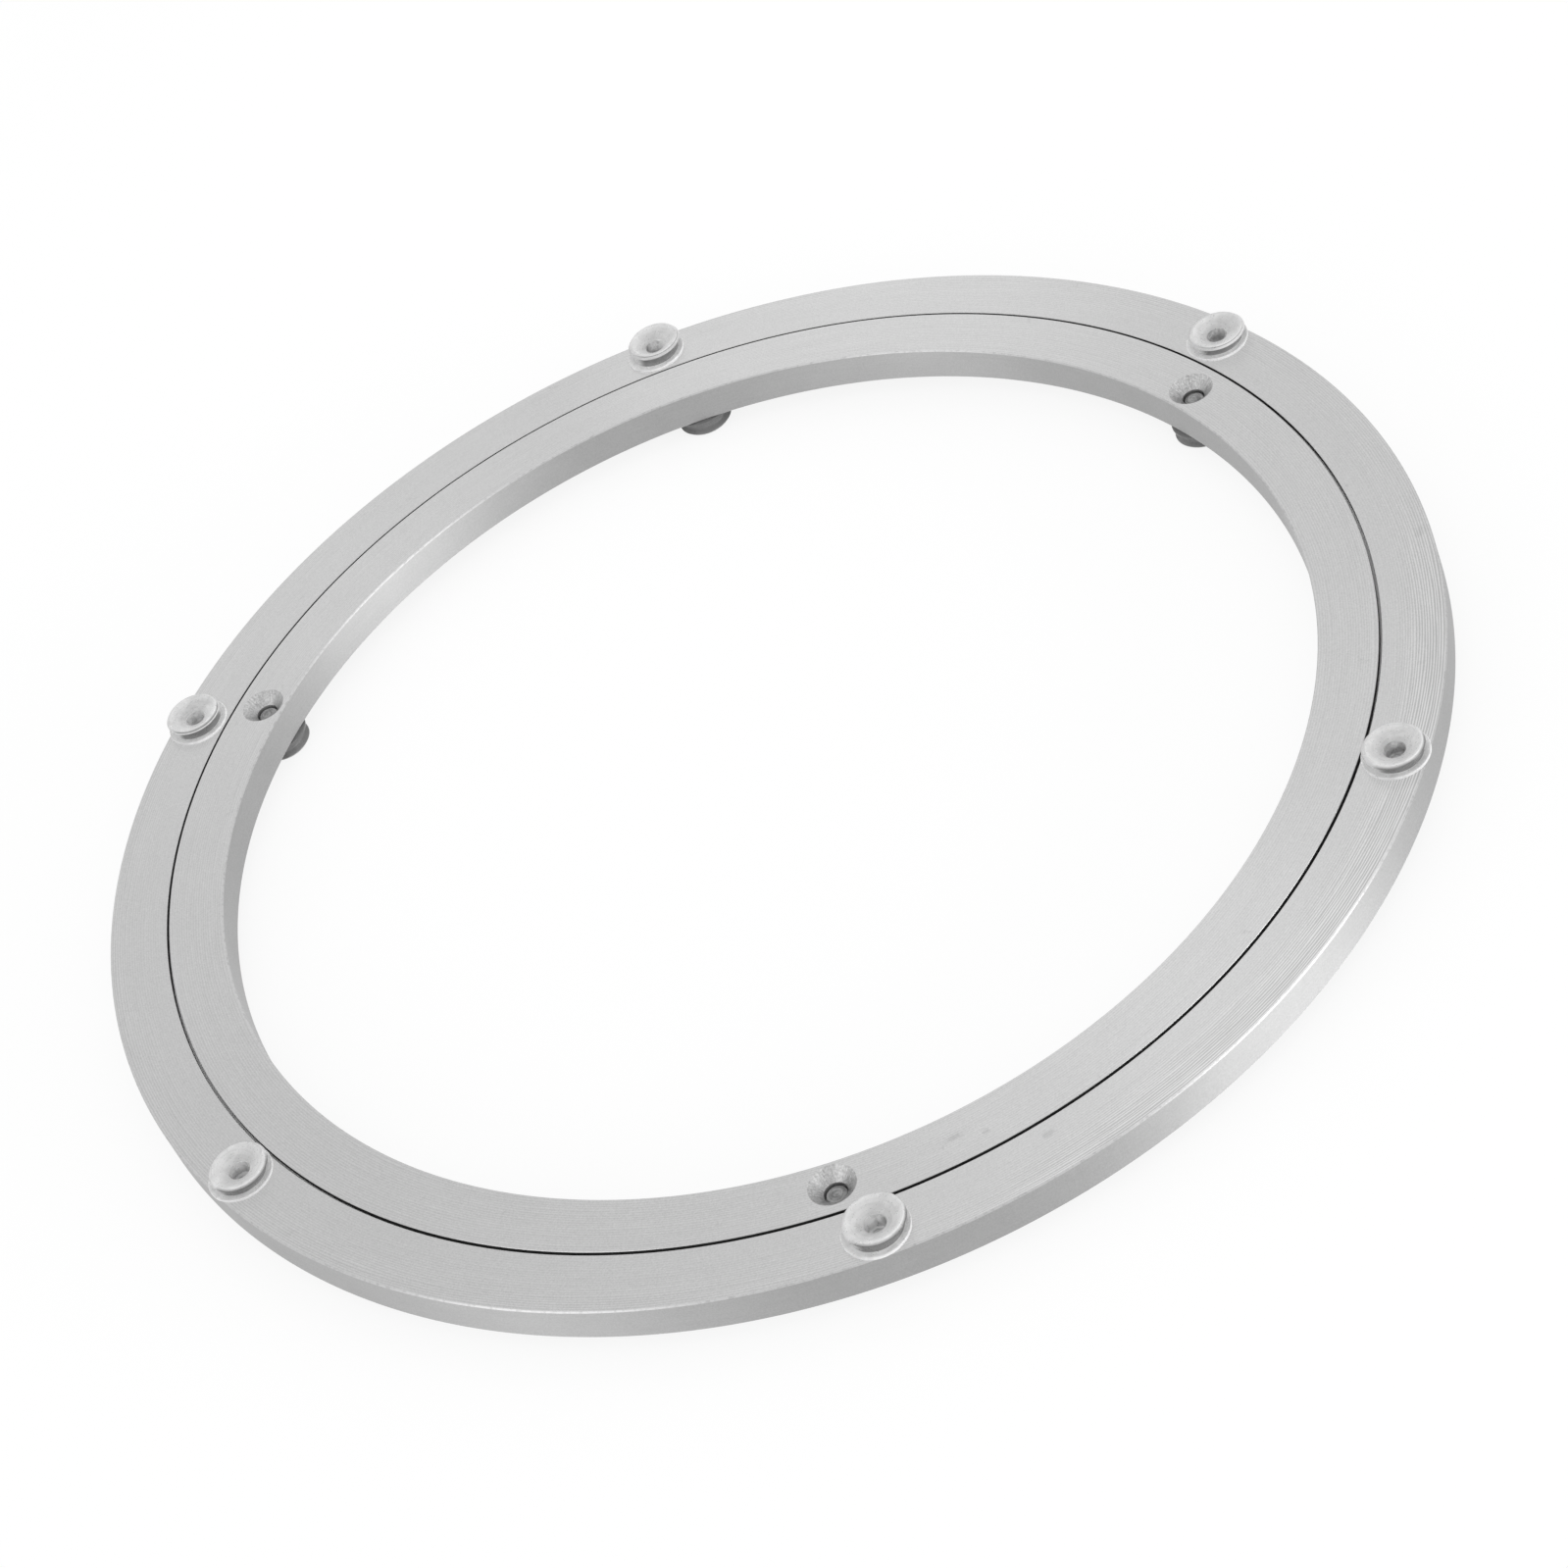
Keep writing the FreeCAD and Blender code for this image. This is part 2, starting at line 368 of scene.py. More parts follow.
class RingGrid:
    """The columns of points round a ring, and the blocks of columns that its holes sit in."""

    def __init__(self, first_azimuth, columns):
        self.first = first_azimuth
        self.columns = columns
        self.step = 2 * math.pi / columns
        self.half = columns // 60
        self.azimuths = first_azimuth + self.step * np.arange(columns)

    def column_at(self, azimuth):
        """The column that is nearest to an azimuth."""
        return round((azimuth - self.first) / self.step) % self.columns

    def rim_angles(self, rows):
        """Angles of a hole's rim points, one for each point on the border of its block."""
        count = 4 * self.half + 2 * rows
        return (np.arange(count) - self.half) * 2 * math.pi / count - math.pi / 2

    def border(self, levels):
        """The border of a block, from its low left corner, as azimuth from its middle and level."""
        across = np.linspace(-1, 1, 2 * self.half + 1) * self.half * self.step
        side = np.full(len(levels) - 1, across[-1])
        azimuth = np.concatenate([across[:-1], side, across[:0:-1], -side])
        low = np.full(2 * self.half, levels[0])
        high = np.full(2 * self.half, levels[-1])
        level = np.concatenate([low, levels[:-1], high, levels[:0:-1]])
        return azimuth, level

    def band(self, skin, levels, place, finish, holes=(), loops=5):
        """A band round the axis, given by place(azimuth, level), with holes at some columns.

        Each hole is its column, and a function that gives its rim as azimuth from the hole and
        level. Round it the grid gives way to loops rim + (border - rim) * t, with t from 0 to 1.
        """
        if not holes:
            skin.add(place(self.azimuths[None, :], levels[:, None]), finish)
            return
        columns = [column for column, _ in holes]
        for here, after in zip(columns, columns[1:] + [columns[0] + self.columns]):
            between = self.first + self.step * np.arange(here + self.half, after - self.half + 1)
            skin.add(place(between[None, :], levels[:, None]), finish, closed=False)
        border_azimuth, border_level = self.border(levels)
        angles = self.rim_angles(len(levels) - 1)
        part = np.linspace(0, 1, loops + 1)[:, None]
        for column, rim in holes:
            rim_azimuth, rim_level = rim(angles)
            azimuth = rim_azimuth + (border_azimuth - rim_azimuth) * part
            level = rim_level + (border_level - rim_level) * part
            skin.add(place(self.first + self.step * column + azimuth, level), finish)


def upright_rim(circle, radius):
    """Rim of a hole along Z: the circle, seen from the bearing's axis, as azimuth and radius."""
    def rim(angles):
        across = radius * np.cos(angles)
        outward = circle + radius * np.sin(angles)
        return np.arctan2(across, outward), np.hypot(across, outward)
    return rim


def upright_bore(skin, azimuth, circle, angles, outline, finishes):
    """The inside of a hole along Z: each (radius, height) of the outline is a circle of points."""
    radius = outline[:, :1]
    across = radius * np.cos(angles)
    outward = circle + radius * np.sin(angles)
    height = np.broadcast_to(outline[:, 1:], across.shape)
    points = round_axis(azimuth + np.arctan2(across, outward), np.hypot(across, outward), height)
    skin.add(points, finishes)


def row_finishes(line, flat, upright, slanting):
    """A finish for each step of a line: by whether it lies flat, stands upright or slants."""
    step = np.abs(np.diff(line, axis=0))
    finish = np.full(len(step), slanting)
    finish[step[:, 0] < SAME] = upright
    finish[step[:, 1] < SAME] = flat
    return finish


class Ring:
    """One ring, whose faces, wall, race and drilled holes are worked out as grids and welded."""

    def __init__(self, node, wall_inside, stem_above, first_azimuth, circle):
        """Wall_inside says that the plain wall is that of the opening, and stem_above that the
        stems come in through the upper face."""
        self.sizes = bpy.context.scene.bearing_sizes
        self.near, self.far = reach(node)
        self.bottom, self.top = heights(node)
        self.wall_inside = wall_inside
        self.stem_above = stem_above
        self.first_azimuth = first_azimuth
        self.circle = circle
        self.wall, self.slit = (self.near, self.far) if wall_inside else (self.far, self.near)
        self.away = math.copysign(1, self.slit - self.wall)
        self.groove_radius = BALL_RADIUS + self.sizes.groove_play
        self.face_start = self.wall + self.away * (self.sizes.wall_chamfer + MARGIN)
        self.face_end = self.slit - self.away * (self.sizes.slit_chamfer + MARGIN)
        self.grid = RingGrid(first_azimuth, self.sizes.columns)
        self.skin = Skin()

    def turn(self, line, finishes):
        """The surface that a line of (radius, height) points leaves when it turns round the axis."""
        self.skin.add(round_axis(self.grid.azimuths, line[:, :1], line[:, 1:]), finishes)

    def add_wall_edges(self):
        """The two broken edges of the plain wall."""
        chamfer = self.sizes.wall_chamfer
        small = self.sizes.edge_radius
        for level, down in ((self.top, -1), (self.bottom, 1)):
            line = rounded([
                (self.face_start, level),
                (self.wall + self.away * chamfer, level),
                (self.wall, level + down * chamfer),
                (self.wall, level + down * (chamfer + MARGIN)),
            ], [small, small])
            self.turn(line, row_finishes(line, FACE, WALL, EDGE))

    def add_race(self):
        """The side towards the other ring: slit, cage channel and race groove, which is an arc."""
        chamfer = self.sizes.slit_chamfer
        small = self.sizes.edge_radius / 2
        edge = self.slit - self.away * chamfer
        channel = RACE_RADIUS - self.away * self.sizes.channel_half
        channel_low = CAGE_LOW - self.sizes.channel_play
        channel_high = CAGE_HIGH + self.sizes.channel_play
        opening = math.acos(self.sizes.channel_half / self.groove_radius)
        swing = np.linspace(opening, -opening, 13)
        groove = np.stack([RACE_RADIUS - self.away * self.groove_radius * np.cos(swing),
                           RACE_HEIGHT + self.groove_radius * np.sin(swing)], axis=1)
        upper = rounded([(self.face_end, self.top), (edge, self.top), (self.slit, self.top - chamfer),
                         (self.slit, channel_high)], [small, small], steps=2)
        lower = rounded([(self.slit, channel_low), (self.slit, self.bottom + chamfer), (edge, self.bottom),
                         (self.face_end, self.bottom)], [small, small], steps=2)
        line = np.concatenate([upper, [(channel, channel_high)], groove, [(channel, channel_low)], lower])
        finishes = np.full(len(line) - 1, RACE)
        finishes[:len(upper) - 1] = row_finishes(upper, FACE, RACE, FACE)
        finishes[-(len(lower) - 1):] = row_finishes(lower, FACE, RACE, FACE)
        self.turn(line, finishes)

    def add_faces(self):
        """Both faces, with the holes of the stems: by turns countersunk and through, and blind."""
        hole = self.sizes.hole_radius
        sink = self.sizes.sink_radius
        levels = np.linspace(*sorted((self.face_start, self.face_end)), 13)
        angles = self.grid.rim_angles(len(levels) - 1)
        stem_level, far_level = (self.top, self.bottom) if self.stem_above else (self.bottom, self.top)
        inwards = -1 if self.stem_above else 1
        stem_holes = []
        sinks = []
        for index in range(HOLE_COUNT):
            azimuth = self.first_azimuth + index * 2 * math.pi / HOLE_COUNT
            column = self.grid.column_at(azimuth)
            stem_holes.append((column, upright_rim(self.circle, hole + HOLE_LIP)))
            if index % 2:
                floor = stem_level + inwards * self.sizes.blind_depth
                line = rounded([(hole + HOLE_LIP, stem_level), (hole, stem_level), (hole, floor), (0, floor)],
                               [HOLE_LIP / 2, HOLE_CORNER])
                finishes = BORE
            else:
                sinks.append((column, upright_rim(self.circle, sink + HOLE_LIP)))
                line = rounded([(hole + HOLE_LIP, stem_level), (hole, stem_level),
                                (hole, far_level - inwards * (sink - hole)),
                                (sink, far_level), (sink + HOLE_LIP, far_level)],
                               [HOLE_LIP / 2, SINK_CORNER, HOLE_LIP / 2])
                finishes = row_finishes(line, FACE, BORE, SINK)
            upright_bore(self.skin, azimuth, self.circle, angles, line, finishes)
        for level, holes in ((stem_level, stem_holes), (far_level, sinks)):
            self.grid.band(self.skin, levels, lambda azimuth, radius, z=level: round_axis(azimuth, radius, z),
                           FACE, holes)

    def add_wall(self, plug_azimuth=None):
        """The plain wall, with the filling hole where the ring has one."""
        end = self.sizes.wall_chamfer + MARGIN
        levels = np.linspace(self.bottom + end, self.top - end, 7)
        holes = []
        if plug_azimuth is not None:
            column = self.grid.column_at(plug_azimuth)
            holes.append((column, self.filling_rim))
            self.add_filling_hole(self.first_azimuth + column * self.grid.step,
                                  self.grid.rim_angles(len(levels) - 1))
        self.grid.band(self.skin, levels, lambda azimuth, z: round_axis(azimuth, self.wall, z), WALL, holes)

    def filling_rim(self, angles):
        """Rim of the filling hole in the plain wall, as azimuth from the hole and height."""
        radius = PLUG_RADIUS + PLUG_PLAY
        return np.arcsin(radius * np.cos(angles) / self.wall), RACE_HEIGHT + radius * np.sin(angles)

    def add_filling_hole(self, azimuth, angles):
        """The inside of the filling hole: its rim on the wall, the same circle deep in, and its end."""
        radius = PLUG_RADIUS + PLUG_PLAY
        across = radius * np.cos(angles)
        deep = np.full_like(across, RACE_RADIUS + self.groove_radius + FILL_STOP)
        outward = np.stack([np.sqrt(self.wall ** 2 - across ** 2), deep, deep])
        shrink = np.array([[1.0], [1.0], [0.0]])
        across = across * shrink
        self.skin.add(round_axis(azimuth + np.arctan2(across, outward), np.hypot(across, outward),
                                 RACE_HEIGHT + radius * np.sin(angles) * shrink), BORE)

    def piece(self, name, plug_azimuth=None):
        """The ring as one object with its finishes."""
        self.add_wall_edges()
        self.add_race()
        self.add_faces()
        self.add_wall(plug_azimuth)
        finish = bpy.context.scene.bearing_finish
        face = finish.inner_face if self.wall_inside else finish.outer_face
        wall = finish.opening_wall if self.wall_inside else finish.outside_wall
        return self.skin.piece(name, [
            ring_face(name + "_face", face, self.near, self.far, self.wall_inside),
            ring_wall(name + "_wall", wall),
            cut_edge(name + "_edge", finish.cut_edge),
            greased_and_shaded(name + "_race", finish.race),
            countersink(name + "_countersink", finish.countersink, self.first_azimuth, self.circle),
            bored(name + "_bore", finish.countersink),
        ])


def spool_outline(flange_radius, height, shaded):
    """Half outline of a foot or pad as (radius, height) points, from its stem's tip to its socket.

    It has one more corner on the disc's side, where the painted shade of the neck stops showing through.
    """
    sizes = bpy.context.scene.bearing_sizes
    disc = sizes.disc_radius
    neck = disc - NECK_INSET
    top = disc - sizes.lip_inset
    lip_top = height - LIP_SLOPE
    lip_bottom = lip_top - LIP_HEIGHT
    corners = [(radius * MM, rise * MM - sizes.stem_length) for radius, rise in STEM_TIP]
    corners += [
        (sizes.stem_radius, STEM_TAPER - sizes.stem_length),
        (sizes.stem_radius, 0),
        (flange_radius - SEAT_INSET, 0),
        (flange_radius, FLANGE_LIFT),
        (flange_radius, FLANGE_TOP),
        (neck, FLANGE_TOP),
        (neck, lip_bottom - DISC_FLARE),
        (disc, lip_bottom),
        (disc, lip_top),
        (top + shaded * sizes.lip_inset, height - shaded * LIP_SLOPE),
        (top, height),
        (top - LIP_FLAT, height),
        (sizes.socket_radius, height - sizes.dish_depth),
        (sizes.socket_radius, SOCKET_FLOOR),
        (0, SOCKET_FLOOR),
    ]
    return rounded(corners, np.array(SPOOL_ROUNDING) * MM, steps=4, margin=0.02 * MM)


def spool_tones(line, angle, height, shaded, tones):
    """How light each point of a foot or pad is, and which rows of its quads are stem or socket.

    The neck's painted shade is at full strength where cos(a - SHADED_SIDE) is over 0.5, and gone under 0.2.
    The rim's lighter tone is a painted highlight.
    """
    sizes = bpy.context.scene.bearing_sizes
    radius = line[:, :1]
    along = line[:, 1:]
    outside = np.arange(len(line))[:, None] <= np.argmax(along)
    stem = outside & (along < 0)
    socket = ~outside & (radius < sizes.socket_radius + SOCKET_EDGE)
    flange = outside & (along < FLANGE_TOP + FLANGE_EDGE)
    neck = outside & (along < height - (HIGH_NECK if shaded > 0.8 else LOW_NECK))
    rim = along > height - RIM_DROP
    side = outside & ~rim & (along > height - shaded * LIP_SLOPE)
    painted_shade = np.clip((np.cos(angle - SHADED_SIDE) - 0.2) / 0.3, 0, 1)
    disc_tone, shaded_neck_tone, flange_tone, socket_tone, stem_tone = tones
    # Painted shade on the neck and on the disc's side, towards SHADED_SIDE
    tone = disc_tone + (shaded_neck_tone - disc_tone) * painted_shade * (side | neck)
    tone = tone * (1 - SIDE_SHADE * painted_shade * side)
    # Painted highlight along the disc's rim
    tone = tone * np.where(rim, RIM_HIGHLIGHT, 1.0)
    tone = np.where(flange, flange_tone, tone)
    tone = np.where(stem, stem_tone, tone)
    tone = np.where(socket, socket_tone, tone)
    hollow = (stem | socket)[:, 0]
    return tone, hollow[1:] & hollow[:-1]


def spool(node, upwards, seat, silicones, tones, twist, lean, shaded):
    """A foot or pad: stem, flange, neck and dished disc, turned from one rounded outline.

    Seat is the height of the face it is plugged into, and upwards says that it stands up from it.
    The outline's point (r, h) at angle a about the spool's own axis is (r cos a, r sin a, h) from
    the hole's mouth. Lean is how far the top is pushed over, round the bearing and away from its
    axis. At height h over a start s it is lean * ((h - s) / (height - s)) ** 0.6. The disc sags by
    tilt * (1 + cos(a - 2.4 twist)) / 2 on one side, and the flange's rim waves by a little.
    """
    sizes = bpy.context.scene.bearing_sizes
    low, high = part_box(node)
    centre = middle(node)
    height = high.z - seat if upwards else seat - low.z
    flange_radius = (high.x - low.x) / 2
    line = spool_outline(flange_radius, height, shaded)
    angle = np.linspace(0, 2 * math.pi, 96, endpoint=False)
    radius = line[:, :1]
    along = line[:, 1:]
    rise = np.clip(along / height, 0, 1)
    sag = sizes.disc_tilt * rise ** 2 * (1 + np.cos(angle - 2.4 * twist)) / 2
    neck = sizes.disc_radius - NECK_INSET
    rim = np.clip((radius - neck) / (flange_radius - neck), 0, 1)
    rim = rim * np.exp(-((along - FLANGE_MIDDLE) / MM) ** 2)
    wave = FLANGE_WAVE * rim * np.sin(2 * angle + 1.7 * twist)
    up = along - sag + wave
    over = (np.clip(along - LEAN_START, 0, None) / (height - LEAN_START)) ** 0.6
    azimuth = math.atan2(centre.y, centre.x)
    round_it, outwards = np.array(lean) * MM
    push_x = outwards * math.cos(azimuth) - round_it * math.sin(azimuth)
    push_y = outwards * math.sin(azimuth) + round_it * math.cos(azimuth)
    points = np.stack([
        centre.x + radius * np.cos(angle) + push_x * over,
        centre.y + radius * np.sin(angle) + push_y * over,
        seat + up if upwards else seat - up,
    ], axis=-1)
    tone, hollow = spool_tones(line, angle, height, shaded, tones)
    skin = Skin()
    skin.add(points, np.where(hollow, HOLLOW, MILKY), tone=tone)
    return skin.piece("silicone_" + node, silicones)


# Materials

class Signal:
    """A shader socket whose arithmetic adds Math nodes to its tree."""

    def __init__(self, nodes, socket):
        self.nodes = nodes
        self.socket = socket

    def math(self, operation, *values):
        return self.nodes.add("ShaderNodeMath", {"operation": operation}, dict(enumerate(values)))

    def __add__(self, other):
        return self.math("ADD", self, other)

    __radd__ = __add__

    def __sub__(self, other):
        return self.math("SUBTRACT", self, other)

    def __rsub__(self, other):
        return self.math("SUBTRACT", other, self)

    def __mul__(self, other):
        return self.math("MULTIPLY", self, other)

    __rmul__ = __mul__

    def __truediv__(self, other):
        return self.math("DIVIDE", self, other)

    def __rtruediv__(self, other):
        return self.math("DIVIDE", other, self)

    def __pow__(self, other):
        return self.math("POWER", self, other)

    def between(self, low, high):
        """0 below low, 1 above high, and a smooth step from one to the other."""
        return self.nodes.add("ShaderNodeMapRange", {"interpolation_type": "SMOOTHSTEP"},
                              {"Value": self, "From Min": low, "From Max": high})


class Nodes:
    """A node tree that is filled through one method."""

    def __init__(self, tree):
        tree.nodes.clear()
        self.tree = tree

    def add(self, kind, settings=(), inputs=(), output=0):
        """Adds a node, makes its settings, then sets or links its inputs, and gives one output."""
        node = self.tree.nodes.new(kind)
        for name, value in dict(settings).items():
            setattr(node, name, value)
        for name, value in dict(inputs).items():
            if isinstance(value, Signal):
                self.tree.links.new(value.socket, node.inputs[name])
            else:
                node.inputs[name].default_value = value
        return Signal(self, node.outputs[output]) if node.outputs else None

    def place(self):
        """Object coordinates."""
        return self.add("ShaderNodeTexCoord", output="Object")

    def parts(self, vector):
        """The x, y and z of a vector."""
        return [self.add("ShaderNodeSeparateXYZ", (), {0: vector}, axis) for axis in "XYZ"]

    def vector(self, x, y, z):
        """A vector of three parts."""
        return self.add("ShaderNodeCombineXYZ", (), {0: x, 1: y, 2: z})

    def noise(self, vector, size, detail=2.0, roughness=0.5, distortion=0.0):
        """Noise with features of the given size, about 0 to 1 with its middle at a half."""
        return self.add("ShaderNodeTexNoise", (), {
            "Vector": vector, "Scale": 1 / size, "Detail": detail, "Roughness": roughness,
            "Distortion": distortion})

    def mix(self, factor, first, second):
        """A colour between two colours."""
        return self.add("ShaderNodeMix", {"data_type": "RGBA"}, {0: factor, 6: first, 7: second}, 2)

    def bump(self, height, distance):
        """A normal for a relief of the given height, where 1 stands for the distance in metres."""
        return self.add("ShaderNodeBump", (), {"Height": height, "Distance": distance})

    def surface(self, **sockets):
        """A Principled surface; a socket's name is given with underscores for its spaces."""
        inputs = {name.replace("_", " "): value for name, value in sockets.items()}
        shader = self.add("ShaderNodeBsdfPrincipled", (), inputs)
        self.add("ShaderNodeOutputMaterial", (), {"Surface": shader})


def finish_nodes(name):
    """A new material and its empty tree."""
    material = bpy.data.materials.new(name)
    material.use_nodes = True
    return material, Nodes(material.node_tree)


def shade(tint, factor):
    """A tint times a factor, as a colour with alpha."""
    return tuple(min(1.0, channel * factor) for channel in tint) + (1.0,)


def about_holes(x, y, first_azimuth, circle, count):
    """Distance from the nearest of so many holes' axes, and the way there as two parts of 1."""
    radius = (x * x + y * y) ** 0.5
    share = 2 * math.pi / count
    azimuth = y.math("ARCTAN2", y, x) - first_azimuth
    folded = azimuth - (azimuth / share).math("ROUND", azimuth / share) * share
    outward = radius * folded.math("COSINE", folded) - circle
    across = radius * folded.math("SINE", folded)
    distance = (outward ** 2 + across ** 2) ** 0.5
    return distance, outward / distance, across / distance


def ring_face(name, tint, near, far, etched):
    """Flat aluminium face: lathe rings, painted with more contrast on one side as a sheen, fine grain, faint
    smudges and nicks along its rims.
    """
    material, nodes = finish_nodes(name)
    place = nodes.place()
    x, y, _ = nodes.parts(place)
    radius = (x * x + y * y) ** 0.5
    ripple = nodes.vector(radius / (1.2 * MM), x / radius * 5, y / radius * 5)
    wander = nodes.noise(ripple, 1.0, 3.0, 0.6)
    feed = radius / LATHE_FEED + wander * 9
    lathe = 0.5 + feed.math("SINE", feed) * 0.3 + (wander - 0.5) * 0.5
    grain = nodes.noise(place, 0.35 * MM, 2.0, 0.6)
    cloud = nodes.noise(place, 16 * MM, 3.0, 0.55)
    smudge = nodes.noise(place, 7 * MM, 4.0, 0.6, 0.8).between(0.66, 0.74)
    scuff = nodes.noise(place, 0.9 * MM, 2.0, 0.6)
    slit = far if etched else near
    rim = (radius - slit).math("ABSOLUTE", radius - slit)
    nick = scuff.between(0.64, 0.72) * (1 - rim.between(0.25 * MM, 0.9 * MM))
    if etched:
        turned = 0.2
    else:
        # Painted sheen: the lathe lines show stronger on the side of the face where light glances along them
        deep = ((x * math.cos(LATHE_SHEEN_SIDE) + y * math.sin(LATHE_SHEEN_SIDE)) / radius).between(0.72, 0.96)
        turned = radius.between(near + 0.1 * (far - near), far) * (deep * 0.9 + 0.2) + 0.1
    tone = 0.5 + (lathe - 0.5) * 2.2 * turned + (grain - 0.5) * 1.1 + (cloud - 0.5) * 0.25
    tone = tone - smudge * 0.1 + nick * 0.2
    rough = 0.42 + (cloud - 0.5) * 0.12 + (grain - 0.5) * 0.1 + smudge * 0.08
    relief = (lathe - 0.5) * turned + (grain - 0.5) * 0.35 - nick * 1.5
    nodes.surface(Base_Color=nodes.mix(tone, shade(tint, 0.8), shade(tint, 1.2)), Metallic=1.0,
                  Roughness=rough, Normal=nodes.bump(relief, 0.012 * MM), **TURNED)
    return material


def ring_wall(name, tint):
    """Turned wall: fine lines round it, with a sparkle of grain."""
    material, nodes = finish_nodes(name)
    place = nodes.place()
    x, y, z = nodes.parts(place)
    radius = (x * x + y * y) ** 0.5
    lines = nodes.noise(nodes.vector(z / (0.16 * MM), x / radius * 14, y / radius * 14), 1.0, 3.0, 0.6)
    grain = nodes.noise(place, 0.35 * MM, 2.0, 0.6)
    cloud = nodes.noise(place, 14 * MM, 2.0)
    tone = 0.5 + (lines - 0.5) * 0.5 + (grain - 0.5) * 1.3 + (cloud - 0.5) * 0.3
    relief = (lines - 0.5) + (grain - 0.5) * 0.6
    nodes.surface(Base_Color=nodes.mix(tone, shade(tint, 0.84), shade(tint, 1.16)), Metallic=1.0,
                  Roughness=0.6 + (grain - 0.5) * 0.15, Normal=nodes.bump(relief, 0.012 * MM), **TURNED)
    return material


def cut_edge(name, tint):
    """Freshly cut chamfer: bright, with small dents."""
    material, nodes = finish_nodes(name)
    dent = nodes.noise(nodes.place(), 1.1 * MM, 3.0, 0.6)
    tone = dent.between(0.30, 0.55)
    nodes.surface(Base_Color=nodes.mix(tone, shade(tint, 0.86), shade(tint, 1.06)), Metallic=1.0,
                  Roughness=0.45 + (dent - 0.5) * 0.1, Normal=nodes.bump(dent, 0.004 * MM), **TURNED)
    return material


def greased_and_shaded(name, tint):
    """Greased wall of the slit and race: dark, partly grease and partly painted shade deep in the slit, in
    uneven streaks.
    """
    material, nodes = finish_nodes(name)
    streak = nodes.noise(nodes.place(), 1.6 * MM, 3.0, 0.6)
    nodes.surface(Base_Color=nodes.mix(streak, shade(tint, 0.5), shade(tint, 1.5)),
                  Roughness=0.6 + (streak - 0.5) * 0.3, Normal=nodes.bump(streak, 0.02 * MM))
    return material


def countersink(name, tint, first_azimuth, circle):
    """Bright countersink: chatter marks run down the cone and rings run round it."""
    material, nodes = finish_nodes(name)
    x, y, _ = nodes.parts(nodes.place())
    distance, outward, across = about_holes(x, y, first_azimuth, circle, HOLE_COUNT // 2)
    chatter = nodes.noise(nodes.vector(outward * 14, across * 14, distance / (1.4 * MM)), 1.0, 3.0, 0.6)
    rings = nodes.noise(nodes.vector(distance / (0.3 * MM), outward * 9, across * 9), 1.0, 2.0)
    tone = 0.5 + (chatter - 0.5) * 1.4 + (rings - 0.5) * 1.4
    nodes.surface(Base_Color=nodes.mix(tone, shade(tint, 0.62), shade(tint, 1.38)), Metallic=1.0,
                  Roughness=0.42 + (chatter - 0.5) * 0.2,
                  Normal=nodes.bump(chatter + rings * 0.6, 0.035 * MM))
    return material


def bored(name, tint):
    """Drilled wall of a hole, duller than its countersink, with its tint lifted as painted light down the
    hole.
    """
    material, nodes = finish_nodes(name)
    x, y, z = nodes.parts(nodes.place())
    spiral = nodes.noise(nodes.vector(z / (0.2 * MM), x / MM, y / MM), 1.0, 2.0)
    # Painted light: the tint is lifted by up to half, against the shade inside the hole
    nodes.surface(Base_Color=nodes.mix(spiral, shade(tint, 0.9), shade(tint, 1.5)), Metallic=1.0,
                  Roughness=0.4 + (spiral - 0.5) * 0.2, Normal=nodes.bump(spiral, 0.02 * MM))
    return material


def silicone(name, tint, clear, size, rings, spread, first_azimuth, circle):
    """Clear silicone, a little milky, with flow marks of the given size, moulding rings and dust.

    Rings is how far the marks run round the piece instead of through it, from 0 to 1.
    """
    material, nodes = finish_nodes(name)
    place = nodes.place()
    x, y, _ = nodes.parts(place)
    distance, outward, across = about_holes(x, y, first_azimuth, circle, HOLE_COUNT)
    flow = nodes.noise(place, size, 2.0, 0.5, 0.9)
    swirl = nodes.noise(nodes.vector(distance / (0.35 * MM), outward * 0.5, across * 0.5), 1.0, 2.0)
    marks = (flow * (1 - rings) + swirl * rings).between(0.32, 0.68) - 0.5
    dust = nodes.noise(place, 0.5 * MM, 3.0, 0.6)
    tone = nodes.add("ShaderNodeAttribute", {"attribute_name": "tone"}, output="Fac")
    light = tone * (1 + marks * spread)
    nodes.surface(Base_Color=nodes.mix(light / LIGHTEST, (0, 0, 0, 1), shade(tint, LIGHTEST)),
                  Roughness=0.3 + (dust - 0.5) * 0.2, IOR=1.41,
                  Transmission_Weight=clear, Normal=nodes.bump(marks + dust * 0.1, 0.04 * MM))
    return material


def silicone_pair(name, tint, clear, first_azimuth, circle):
    """Silicone of a pad or foot, and that of its socket and stem, where the marks are stronger: partly
    moulding marks, partly painted highlights.
    """
    return [
        silicone(name + "_silicone", tint, clear, 2.4 * MM, 0.4, 0.2, first_azimuth, circle),
        silicone(name + "_hollow", tint, clear, 1.4 * MM, 0.6, 0.9, first_azimuth, circle),
    ]


def nylon(name, tint):
    """Moulded natural nylon."""
    material, nodes = finish_nodes(name)
    flow = nodes.noise(nodes.place(), 3 * MM, 3.0, 0.6)
    nodes.surface(Base_Color=nodes.mix(flow, shade(tint, 0.9), shade(tint, 1.06)),
                  Roughness=0.45 + flow * 0.1, IOR=1.53, Normal=nodes.bump(flow, 0.02 * MM))
    return material


